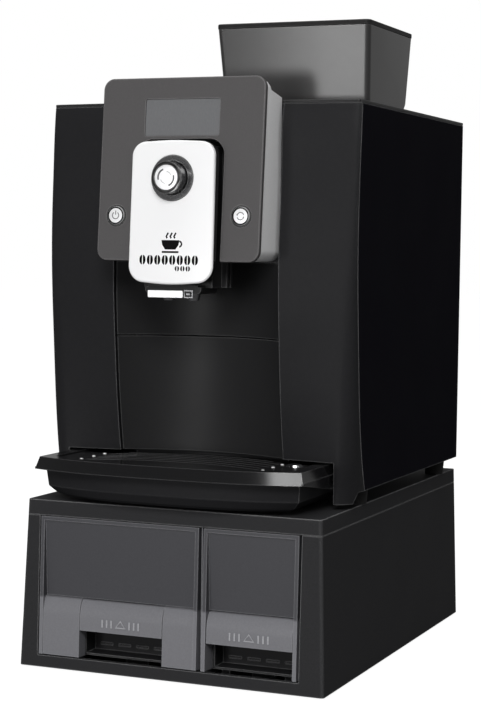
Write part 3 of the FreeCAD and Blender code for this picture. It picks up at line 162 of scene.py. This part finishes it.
# ---------------------------------------------------------------- light
def softbox(name, place, target, width, height, watts):
    data = bpy.data.lights.new(name, "AREA")
    data.shape = "RECTANGLE"
    data.size, data.size_y = width, height
    data.energy = watts
    lamp = bpy.data.objects.new(name, data)
    bpy.context.scene.collection.objects.link(lamp)
    lamp.location = place
    lamp.visible_camera = False
    lamp.rotation_mode = "QUATERNION"
    lamp.rotation_quaternion = (Vector(target) - Vector(place)).to_track_quat("-Z", "Y")


def make_light():
    scene = bpy.context.scene
    scene.view_settings.view_transform = "Standard"
    scene.view_settings.look = "None"
    world = bpy.data.worlds.new("studio")
    scene.world = world
    world.use_nodes = True
    nodes, links = world.node_tree.nodes, world.node_tree.links
    nodes.clear()
    out = nodes.new("ShaderNodeOutputWorld")
    path = nodes.new("ShaderNodeLightPath")
    seen = nodes.new("ShaderNodeBackground")
    seen.inputs["Color"].default_value = (1, 1, 1, 1)
    seen.inputs["Strength"].default_value = 1.0
    around = nodes.new("ShaderNodeBackground")
    around.inputs["Color"].default_value = (1, 1, 1, 1)
    # slightly brighter behind the object than in front of it
    coords = nodes.new("ShaderNodeTexCoord")
    split = nodes.new("ShaderNodeSeparateXYZ")
    ramp = map_range(nodes, AROUND_START, AROUND_END, AROUND_FRONT, AROUND_BACK)
    ramp.interpolation_type = "SMOOTHSTEP"
    links.new(coords.outputs["Generated"], split.inputs[0])
    links.new(split.outputs["Y"], ramp.inputs["Value"])
    links.new(ramp.outputs["Result"], around.inputs["Strength"])
    mix = nodes.new("ShaderNodeMixShader")
    links.new(path.outputs["Is Camera Ray"], mix.inputs[0])
    links.new(around.outputs[0], mix.inputs[1])
    links.new(seen.outputs[0], mix.inputs[2])
    links.new(mix.outputs[0], out.inputs[0])
    for light in LIGHTS:
        softbox(*light)


def make_floor():
    mesh = bpy.data.meshes.new("floor")
    mesh.from_pydata(FLOOR_CORNERS, [], [(0, 1, 2, 3)])
    floor = bpy.data.objects.new("floor", mesh)
    bpy.context.scene.collection.objects.link(floor)
    paint = bpy.data.materials.new("floor_white")
    paint.use_nodes = True
    nodes, links = paint.node_tree.nodes, paint.node_tree.links
    nodes.remove(nodes["Principled BSDF"])
    path = nodes.new("ShaderNodeLightPath")
    pale = nodes.new("ShaderNodeBsdfDiffuse")
    pale.inputs["Color"].default_value = (FLOOR_TONE, FLOOR_TONE, FLOOR_TONE, 1)
    glow = nodes.new("ShaderNodeEmission")
    glow.inputs["Strength"].default_value = FLOOR_GLOW
    bright = nodes.new("ShaderNodeAddShader")
    links.new(pale.outputs[0], bright.inputs[0])
    links.new(glow.outputs[0], bright.inputs[1])
    mix = nodes.new("ShaderNodeMixShader")
    links.new(path.outputs["Is Camera Ray"], mix.inputs[0])
    links.new(pale.outputs[0], mix.inputs[1])
    links.new(bright.outputs[0], mix.inputs[2])
    links.new(mix.outputs[0], nodes["Material Output"].inputs["Surface"])
    mesh.materials.append(paint)


# ---------------------------------------------------------------- materials
def surface(name, colour, rough, spec=0.5, metal=0.0, grain=500.0, bump=0.08, vary=0.08, edge_highlight=0.3,
            coat=0.0, seethrough=0.0, tint=(0.2, 0.2, 0.22), brushed=None, lower=None, speckle=0.06,
            rim=0.06, backed=None, gloss=0.06):
    """Principled surface with fine grain, uneven roughness and a painted highlight on the edges.

    edge_highlight is how far the edges go to their painted highlight tone, and rim what that tone
    adds to the colour.
    lower is a height and the colour below it; backed is the slope, start and colour of a dark back.
    """
    paint = bpy.data.materials.new(name)
    paint.use_nodes = True
    nodes, links = paint.node_tree.nodes, paint.node_tree.links
    shader = nodes["Principled BSDF"]
    out = nodes["Material Output"]
    shader.inputs["Metallic"].default_value = metal
    shader.inputs["Specular IOR Level"].default_value = spec
    shader.inputs["Coat Weight"].default_value = coat
    shader.inputs["Coat Roughness"].default_value = gloss
    coords = nodes.new("ShaderNodeTexCoord")
    source = coords.outputs["Object"]
    if brushed:
        stretch = nodes.new("ShaderNodeMapping")
        stretch.inputs["Scale"].default_value = brushed
        links.new(source, stretch.inputs["Vector"])
        source = stretch.outputs["Vector"]
    fine = noise(nodes, grain, GRAIN_DETAIL)
    links.new(source, fine.inputs["Vector"])
    relief = nodes.new("ShaderNodeBump")
    relief.inputs["Strength"].default_value = bump
    relief.inputs["Distance"].default_value = GRAIN_HEIGHT
    links.new(fine.outputs["Fac"], relief.inputs["Height"])
    links.new(relief.outputs["Normal"], shader.inputs["Normal"])
    broad = noise(nodes, BLOTCH_SCALE, BLOTCH_DETAIL)
    links.new(coords.outputs["Object"], broad.inputs["Vector"])
    smooth, dull = max(rough - vary, SMOOTHEST), min(rough + vary, DULLEST)
    uneven = map_range(nodes, NOISE_LOW, NOISE_HIGH, smooth, dull)
    links.new(broad.outputs["Fac"], uneven.inputs["Value"])
    links.new(uneven.outputs["Result"], shader.inputs["Roughness"])
    # painted highlight on edges: a lighter colour where a rounded normal leaves the true one
    rounded = nodes.new("ShaderNodeBevel")
    rounded.samples = 2
    rounded.inputs["Radius"].default_value = EDGE_RADIUS
    geometry = nodes.new("ShaderNodeNewGeometry")
    meeting = nodes.new("ShaderNodeVectorMath")
    meeting.operation = "DOT_PRODUCT"
    links.new(rounded.outputs["Normal"], meeting.inputs[0])
    links.new(geometry.outputs["Normal"], meeting.inputs[1])
    edge = map_range(nodes, EDGE_START, EDGE_END, 0.0, edge_highlight)
    links.new(meeting.outputs["Value"], edge.inputs["Value"])
    # the painted highlight tone: the colour raised by the gain and lifted by rim
    blend = colour_mix(nodes, colour, [min(1.0, c * EDGE_HIGHLIGHT_GAIN + rim) for c in colour])
    if lower:
        # a paler tone where the moulding is thicker, below a height
        height, pale = lower
        split = nodes.new("ShaderNodeSeparateXYZ")
        links.new(coords.outputs["Object"], split.inputs[0])
        below = map_range(nodes, height + LOWER_FADE, height - LOWER_REACH, 0.0, 1.0)
        links.new(split.outputs["Z"], below.inputs["Value"])
        tone = colour_mix(nodes, colour, pale)
        links.new(below.outputs["Result"], tone.inputs["Factor"])
        links.new(tone.outputs["Result"], blend.inputs["A"])
    if backed:
        # the skin is thin: behind a sloping line the wall is dark
        slope, start, dark = backed
        split = nodes.new("ShaderNodeSeparateXYZ")
        links.new(coords.outputs["Object"], split.inputs[0])
        rise = nodes.new("ShaderNodeMath")
        rise.operation = "MULTIPLY_ADD"
        rise.inputs[1].default_value = -slope
        links.new(split.outputs["Z"], rise.inputs[0])
        links.new(split.outputs["Y"], rise.inputs[2])
        behind = map_range(nodes, start, start + BACK_FADE, 0.0, 1.0)
        links.new(rise.outputs[0], behind.inputs["Value"])
        wall = colour_mix(nodes, colour, dark)
        links.new(behind.outputs["Result"], wall.inputs["Factor"])
        links.new(wall.outputs["Result"], blend.inputs["A"])
    links.new(edge.outputs["Result"], blend.inputs["Factor"])
    grainy = map_range(nodes, NOISE_LOW, NOISE_HIGH, 1 - speckle, 1 + speckle)
    links.new(fine.outputs["Fac"], grainy.inputs["Value"])
    scaled = nodes.new("ShaderNodeVectorMath")
    scaled.operation = "SCALE"
    links.new(blend.outputs["Result"], scaled.inputs[0])
    links.new(grainy.outputs["Result"], scaled.inputs["Scale"])
    links.new(scaled.outputs["Vector"], shader.inputs["Base Color"])
    if seethrough > 0:
        clear = nodes.new("ShaderNodeBsdfTransparent")
        clear.inputs["Color"].default_value = (*tint, 1)
        both = nodes.new("ShaderNodeMixShader")
        both.inputs[0].default_value = seethrough
        links.new(shader.outputs[0], both.inputs[1])
        links.new(clear.outputs[0], both.inputs[2])
        links.new(both.outputs[0], out.inputs["Surface"])
    return paint


def make_materials():
    # edge_highlight and rim set each material's painted highlight along its edges
    return {
        "base_black": surface(
            "powder_black", (0.028, 0.028, 0.0295), 0.6, spec=0.03, grain=900, bump=0.1, vary=0.03,
            edge_highlight=0.9, speckle=0.12, rim=0.16),
        "drawer_smoke": surface(
            "smoke_satin", (0.056, 0.056, 0.062), 0.45, spec=0.2, grain=700, bump=0.05, vary=0.03,
            edge_highlight=0.7, lower=(0.0662, (0.165, 0.165, 0.178)), rim=0.12),
        "inner_black": surface(
            "moulded_black", (0.014, 0.014, 0.015), 0.6, spec=0.15, vary=0.03, edge_highlight=0.8, rim=0.12),
        "gloss_black": surface(
            "wing_black", (0.0148, 0.0148, 0.016), 0.45, spec=0.07, grain=300, bump=0.02, vary=0.03,
            edge_highlight=0.7, rim=0.13),
        "tray_black": surface(
            "tray_black", (0.006, 0.006, 0.0065), 0.17, spec=0.25, grain=300, bump=0.015, vary=0.02,
            edge_highlight=0.7),
        "satin_black": surface(
            "satin_black", (0.016, 0.016, 0.0166), 0.4, spec=0.1, grain=600, bump=0.04, vary=0.03,
            edge_highlight=0.6, rim=0.08),
        "side_texture": surface(
            "side_texture", (0.0052, 0.005, 0.0075), 0.8, spec=0.02, grain=1100, bump=0.5,
            vary=0.03, edge_highlight=0.9, speckle=0.35, rim=0.2),
        "rear_paint": surface(
            "rear_paint", (0.022, 0.022, 0.0235), 0.6, spec=0.12, grain=900, bump=0.2, vary=0.03,
            edge_highlight=0.8, speckle=0.2, rim=0.16),
        "fascia_grey": surface(
            "fascia_satin", (0.074, 0.071, 0.072), 0.55, spec=0.2, grain=900, bump=0.03, vary=0.02,
            edge_highlight=0.6, rim=0.1),
        "bezel_silver": surface(
            "bezel_silver", (0.95, 0.95, 0.955), 0.3, grain=800, bump=0.03, vary=0.03, edge_highlight=0.0),
        "display": surface(
            "display_glass", (0.135, 0.137, 0.142), 0.35, spec=0.2, grain=1500, bump=0.01,
            vary=0.02, edge_highlight=0.0, brushed=(1, 1, 0.2)),
        "white_gloss": surface(
            "white_gloss", (0.86, 0.86, 0.865), 0.25, spec=0.4, grain=700, bump=0.004, vary=0.02,
            edge_highlight=0.0, speckle=0.0, backed=(0.0632, -0.21515, (0.006, 0.006, 0.0065))),
        "chrome": surface(
            "chrome", (0.86, 0.86, 0.87), 0.08, metal=1.0, grain=200, bump=0.01, vary=0.03),
        "silver": surface(
            "silver", (0.82, 0.82, 0.83), 0.34, metal=0.35, grain=600, bump=0.03,
            brushed=(6, 1, 0.4), vary=0.03),
        "smoke_clear": surface(
            "smoke_clear", (0.022, 0.021, 0.021), 0.42, spec=0.5, grain=150, bump=0.01, vary=0.02,
            coat=0.6, gloss=0.27, seethrough=0.08, rim=0.2),
        "lid_smoke": surface(
            "lid_smoke", (0.016, 0.0155, 0.0155), 0.5, spec=0.12, grain=150, bump=0.01, vary=0.02,
            seethrough=0.05, rim=0.1),
        "clear": surface(
            "clear_plastic", (0.5, 0.56, 0.6), 0.1, seethrough=0.7, tint=(0.85, 0.9, 0.93),
            grain=100, bump=0.01),
        "steel": surface(
            "brushed_steel", (0.5, 0.5, 0.51), 0.35, metal=1.0, grain=400, bump=0.1,
            brushed=(8, 1, 1)),
        "rubber": surface("rubber", (0.012, 0.012, 0.012), 0.8, spec=0.2, grain=1500, bump=0.2),
        "burr_steel": surface("burr_steel", (0.3, 0.3, 0.31), 0.4, metal=0.9, grain=500),
        "brass": surface("brass", (0.72, 0.55, 0.26), 0.3, metal=1.0, grain=400),
        "board_green": surface("board_green", (0.03, 0.16, 0.07), 0.4, grain=300),
        "knob_black": surface(
            "knob_black", (0.03, 0.03, 0.032), 0.22, spec=0.8, grain=400, bump=0.01, vary=0.02,
            edge_highlight=0.8, coat=0.5, rim=0.25),
        "bright_trim": surface(
            "bright_trim", (0.85, 0.85, 0.86), 0.38, metal=0.4, grain=300, bump=0.01),
        "dark_steel": surface(
            "dark_steel", (0.16, 0.16, 0.165), 0.3, metal=0.8, grain=300, bump=0.02),
        "ring_dark": surface(
            "ring_dark", (0.004, 0.004, 0.004), 0.15, spec=0.5, grain=300, bump=0.01, vary=0.02,
            edge_highlight=0.3, rim=0.3),
        "push_mark": surface("push_mark", (0.24, 0.24, 0.255), 0.4, grain=700, edge_highlight=0.6),
        "print": surface("dark_print", (0.004, 0.004, 0.004), 0.6, spec=0.04, grain=900, edge_highlight=0.0),
        "grey_print": surface("grey_print", (0.07, 0.07, 0.075), 0.5, grain=900, edge_highlight=0.0),
    }


# ---------------------------------------------------------------- pieces
def mesh_object(name, bm, paint, smooth_angle=30.0):
    mesh = bpy.data.meshes.new(name)
    bmesh.ops.recalc_face_normals(bm, faces=bm.faces)
    for face in bm.faces:
        face.smooth = True
    bm.to_mesh(mesh)
    bm.free()
    mesh.set_sharp_from_angle(angle=math.radians(smooth_angle))
    mesh.materials.append(paint)
    piece = bpy.data.objects.new(name, mesh)
    bpy.context.scene.collection.objects.link(piece)
    return piece


def finished(node, paint, edge, steps=2, angle=32.0):
    """A cleaned copy of a CAD node with softened edges, shown in the node's place."""
    source = NODES[node]
    bm = bmesh.new()
    vertices = [bm.verts.new(v.co) for v in source.data.vertices]
    for polygon in source.data.polygons:
        corners = [vertices[i] for i in polygon.vertices]
        if len(set(corners)) == len(corners) and bm.faces.get(corners) is None:
            bm.faces.new(corners)
    bmesh.ops.remove_doubles(bm, verts=bm.verts, dist=WELD)
    bmesh.ops.dissolve_limit(bm, angle_limit=math.radians(LEVEL_ANGLE), verts=bm.verts,
                             edges=bm.edges)
    piece = mesh_object(node + "_finish", bm, paint, angle)
    bevel = piece.modifiers.new("soft_edges", "BEVEL")
    bevel.width = edge * MM
    bevel.segments = steps
    bevel.limit_method = "ANGLE"
    bevel.angle_limit = math.radians(angle)
    bevel.miter_outer = "MITER_ARC"
    bevel.use_clamp_overlap = True
    bevel.harden_normals = True
    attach(piece, source["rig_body"])
    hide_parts(node)
    return piece


def leant(angle, y, z):
    """Turns a point given on an upright face about a level line at y and z."""
    turn = Matrix.Rotation(angle, 3, "X")
    pivot = Vector((0, y, z))
    return lambda point: turn @ (Vector(point) - pivot) + pivot


def ribbon(bm, points, width, front, depth, place=lambda p: p, closed=False):
    """A raised strip of constant width along points of (x, z), standing on a face at front."""
    count = len(points)
    rails = []
    for i, point in enumerate(points):
        before = points[i - 1] if closed or i > 0 else point
        after = points[(i + 1) % count] if closed or i < count - 1 else point
        along = Vector((after[0] - before[0], after[1] - before[1])).normalized()
        across = Vector((-along.y, along.x)) * (width / 2)
        corners = []
        for side, y in ((1, front), (1, front - depth), (-1, front - depth), (-1, front)):
            spot = (point[0] + across.x * side, y, point[1] + across.y * side)
            corners.append(bm.verts.new(place(Vector(spot)) * MM))
        rails.append(corners)
    pairs = list(zip(rails, rails[1:]))
    if closed:
        pairs.append((rails[-1], rails[0]))
    for a, b in pairs:
        for k in range(4):
            bm.faces.new((a[k], a[(k + 1) % 4], b[(k + 1) % 4], b[k]))
    if not closed:
        bm.faces.new(rails[0])
        bm.faces.new(rails[-1])


def arc_points(centre, radius, start, end, steps=20):
    """Points of (x, z) along an arc from start to end degrees."""
    turns = [math.radians(start + (end - start) * i / steps) for i in range(steps + 1)]
    return [(centre[0] + radius * math.cos(t), centre[1] + radius * math.sin(t)) for t in turns]


def ride_as(piece, body):
    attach(piece, body)


def make_icons():
    """Marks and dark bands printed on the two buttons, and marks on the knob's cap."""
    tilted = leant(math.radians(BEZEL_TILT), BEZEL_FRONT, BEZEL_BOTTOM)
    face, depth = BUTTON_FACE, PRINT_DEPTH
    bm = bmesh.new()
    ring = arc_points((-BUTTON_X, BUTTON_Z), POWER_RADIUS, 125, 415)
    ribbon(bm, ring, ICON_LINE, face, depth, tilted)
    stroke = [(-BUTTON_X, BUTTON_Z + 0.6), (-BUTTON_X, BUTTON_Z + 4.2)]
    ribbon(bm, stroke, ICON_LINE, face, depth, tilted)
    ride_as(mesh_object("power_mark", bm, MATS["grey_print"]), "power_key")
    bm = bmesh.new()
    for start in (20, 200):
        arc = arc_points((BUTTON_X, BUTTON_Z), RINSE_RADIUS, start, start + 130)
        ribbon(bm, arc, ICON_LINE, face, depth, tilted)
        tip = math.radians(start + 138)
        head = (BUTTON_X + RINSE_RADIUS * math.cos(tip), BUTTON_Z + RINSE_RADIUS * math.sin(tip))
        ribbon(bm, arc_points(head, 0.5, 0, 300, 6), 0.6, face, depth, tilted)
    ride_as(mesh_object("rinse_mark", bm, MATS["grey_print"]), "menu_key")
    bands = (("power_band", -BUTTON_X, "power_key"), ("menu_band", BUTTON_X, "menu_key"))
    for name, x, body in bands:
        bm = bmesh.new()
        circle = arc_points((x, BUTTON_Z), BAND_RADIUS, 0, 354, 59)
        ribbon(bm, circle, BAND_WIDTH, face, depth, tilted, closed=True)
        ride_as(mesh_object(name, bm, MATS["print"]), body)
    bm = bmesh.new()
    for radius, sweep, width, starts in ((7.4, 85, 1.5, (110, 290)), (5.2, 60, 0.4, (20, 200))):
        for start in starts:
            arc = arc_points((0, KNOB_Z), radius, start, start + sweep)
            ribbon(bm, arc, width, KNOB_FACE, KNOB_PRINT_DEPTH)
    ride_as(mesh_object("knob_mark", bm, MATS["grey_print"]), "knob_centre")


def plaque(bm, outline, front, depth, place):
    """A flat printed shape with the given outline of (x, z), standing on a face at front."""
    back = [bm.verts.new(place(Vector((x, front, z))) * MM) for x, z in outline]
    fore = [bm.verts.new(place(Vector((x, front - depth, z))) * MM) for x, z in outline]
    bm.faces.new(fore)
    for a in range(len(outline)):
        b = (a + 1) % len(outline)
        bm.faces.new((back[a], back[b], fore[b], fore[a]))


def bean(bm, centre, long, wide, front, depth, place):
    """Two half ovals either side of a straight crease."""
    for side in (1, -1):
        outline = []
        for i in range(BEAN_STEPS + 1):
            t = math.radians(-90 + 180 * i / BEAN_STEPS)
            x = centre[0] + side * (BEAN_CREASE + wide * math.cos(t))
            outline.append((x, centre[1] + long * math.sin(t)))
        plaque(bm, outline, front, depth, place)


def make_ornament():
    """A plain cup over a row of beans, printed on the white plate."""
    front, depth = COVER_FRONT, PRINT_DEPTH
    place = leant(math.radians(COVER_LEAN), front, KNOB_Z)
    bm = bmesh.new()
    left = [(-8.6, 391.4), (-7.8, 387.2), (-5.0, 383.2)]
    cup = left + [(-x, z) for x, z in reversed(left)]
    plaque(bm, cup, front, depth, place)
    ribbon(bm, [(-8.0, 381.0), (8.0, 381.0)], 1.7, front, depth, place)
    ribbon(bm, arc_points((8.2, 388.0), 2.5, -80, 80, 10), PRINT_LINE, front, depth, place)
    for x in (-3.2, 0.6, 4.2):
        steam = [(x, 393.0), (x - 0.9, 394.6), (x, 396.2), (x + 0.9, 397.8)]
        ribbon(bm, steam, PRINT_LINE, front, depth, place)
    for count, first, spacing, z, long, wide in BEAN_ROWS:
        for i in range(count):
            bean(bm, (first + spacing * i, z), long, wide, front, depth, place)
    ride_as(mesh_object("plate_ornament", bm, MATS["print"]), "spout")


def make_push_marks():
    """A raised arrow between short bars on each push lip, in place of lettering."""
    place = leant(-math.atan2(LIP_RUN, LIP_RISE), LIP_FOOT, 0)
    low, high = MARK_Z - MARK_HALF, MARK_Z + MARK_HALF
    for side, centre in LIP_CENTRES:
        bm = bmesh.new()
        for k in (-1, 1):
            for x in (9.0, 13.5, 18.0):
                bar = [(centre + k * x, low), (centre + k * x, high)]
                ribbon(bm, bar, MARK_LINE, LIP_FRONT, MARK_RELIEF, place)
        arrow = [(centre - 4.6, low + 0.8), (centre + 4.6, low + 0.8), (centre, high)]
        ribbon(bm, arrow, MARK_LINE, LIP_FRONT, MARK_RELIEF, place, closed=True)
        mark = mesh_object(side + "_push_mark", bm, MATS["push_mark"])
        ride_as(mark, side + "_push")


def dome(bm, centre, radius, height, steps=16):
    """Low round stud on a level face."""
    turns = [2 * math.pi * i / steps for i in range(steps)]
    rings = []
    for level in STUD_LEVELS:
        spread, z = radius * math.sqrt(1 - level ** 2), centre[2] + height * level
        ring = [(centre[0] + spread * math.cos(t), centre[1] + spread * math.sin(t)) for t in turns]
        rings.append([bm.verts.new(Vector((x, y, z)) * MM) for x, y in ring])
    for a, b in zip(rings, rings[1:]):
        for i in range(steps):
            j = (i + 1) % steps
            bm.faces.new((a[i], a[j], b[j], b[i]))
    bm.faces.new(rings[-1])


def make_small_trim():
    """Bright studs on the grate, and the latch of the spout's nose beside its bright strip."""
    bm = bmesh.new()
    for x in (-STUD_X, STUD_X):
        for y in STUD_ROWS:
            dome(bm, (x, y, GRATE_FACE), STUD_RADIUS, STUD_HEIGHT)
    ride_as(mesh_object("grate_studs", bm, MATS["bright_trim"]), "grate")
    bm = bmesh.new()
    surround = [(11.5, 347.4), (11.5, 341.6), (19.0, 341.6), (19.0, 347.4)]
    ribbon(bm, surround, 1.2, LATCH_FACE, 1.0, closed=True)
    ribbon(bm, [(13.6, 344.5), (17.0, 344.5)], 1.6, LATCH_FACE, 1.6)
    ride_as(mesh_object("nose_latch", bm, MATS["dark_steel"]), "spout")


def build():
    """Clean copies of the nodes that show, then the printed and raised details."""
    finished("base_housing", MATS["base_black"], 0.6)
    finished("base_lid", MATS["base_black"], 0.6)
    finished("base_pads", MATS["rubber"], 0.4)
    finished("drawer_divider", MATS["drawer_smoke"], 0.3)
    for side in ("left", "right"):
        finished(side + "_drawer_front", MATS["drawer_smoke"], 0.7)
        finished(side + "_push_lever", MATS["drawer_smoke"], 0.7)
        finished(side + "_drawer_bin", MATS["inner_black"], 0.5)
        finished("side_panel_" + side, MATS["side_texture"], 0.4)
    finished("front_shell", MATS["gloss_black"], 0.7, 3)
    finished("top_cover", MATS["satin_black"], 0.6)
    finished("rear_panel", MATS["rear_paint"], 0.3)
    finished("rear_screws", MATS["steel"], 0.2)
    finished("machine_feet", MATS["rubber"], 0.5)
    finished("column_upper_panel", MATS["satin_black"], 0.4)
    finished("column_lower_panel", MATS["satin_black"], 0.4)
    finished("tray_rim", MATS["tray_black"], 0.8, 3)
    finished("drip_tray", MATS["gloss_black"], 0.8, 3, angle=18.0)
    finished("drip_grate", MATS["tray_black"], 0.5)
    finished("tray_float", MATS["chrome"], 0.5)
    finished("bezel_fascia", MATS["fascia_grey"], 0.3)
    finished("bezel_housing", MATS["bezel_silver"], 0.5)
    finished("display_window", MATS["display"], 0.2)
    finished("button_rings", MATS["ring_dark"], 0.3)
    finished("power_button", MATS["silver"], 0.3)
    finished("menu_button", MATS["silver"], 0.3)
    finished("spout_cover", MATS["white_gloss"], 0.5, 3)
    finished("spout_carriage", MATS["satin_black"], 0.5)
    outlets = finished("spout_outlets", MATS["bright_trim"], 0.4)
    outlets.data.materials.append(MATS["dark_steel"])
    for polygon in outlets.data.polygons:
        polygon.material_index = int(polygon.center.y > STRIP_BACK)
    finished("knob_surround", MATS["knob_black"], 0.5)
    finished("knob_body", MATS["knob_black"], 0.5)
    finished("knob_ring", MATS["ring_dark"], 0.2)
    finished("knob_cap", MATS["silver"], 0.3)
    finished("hopper_body", MATS["smoke_clear"], 0.6)
    finished("hopper_lid", MATS["lid_smoke"], 0.5)
    finished("tank_lid", MATS["satin_black"], 0.6)
    finished("mains_inlet", MATS["satin_black"], 0.3)
    finished("power_rocker", MATS["gloss_black"], 0.3)
    make_icons()
    make_ornament()
    make_push_marks()
    make_small_trim()


# ---------------------------------------------------------------- run
SLOT_OF = {row["node"]: row["material_slot"] for row in frame["record"]["subparts"]}
MATS = make_materials()
make_camera()
make_light()
make_floor()
for node_name, node_object in NODES.items():
    node_object.data.materials.clear()
    node_object.data.materials.append(MATS[SLOT_OF[node_name]])
build()
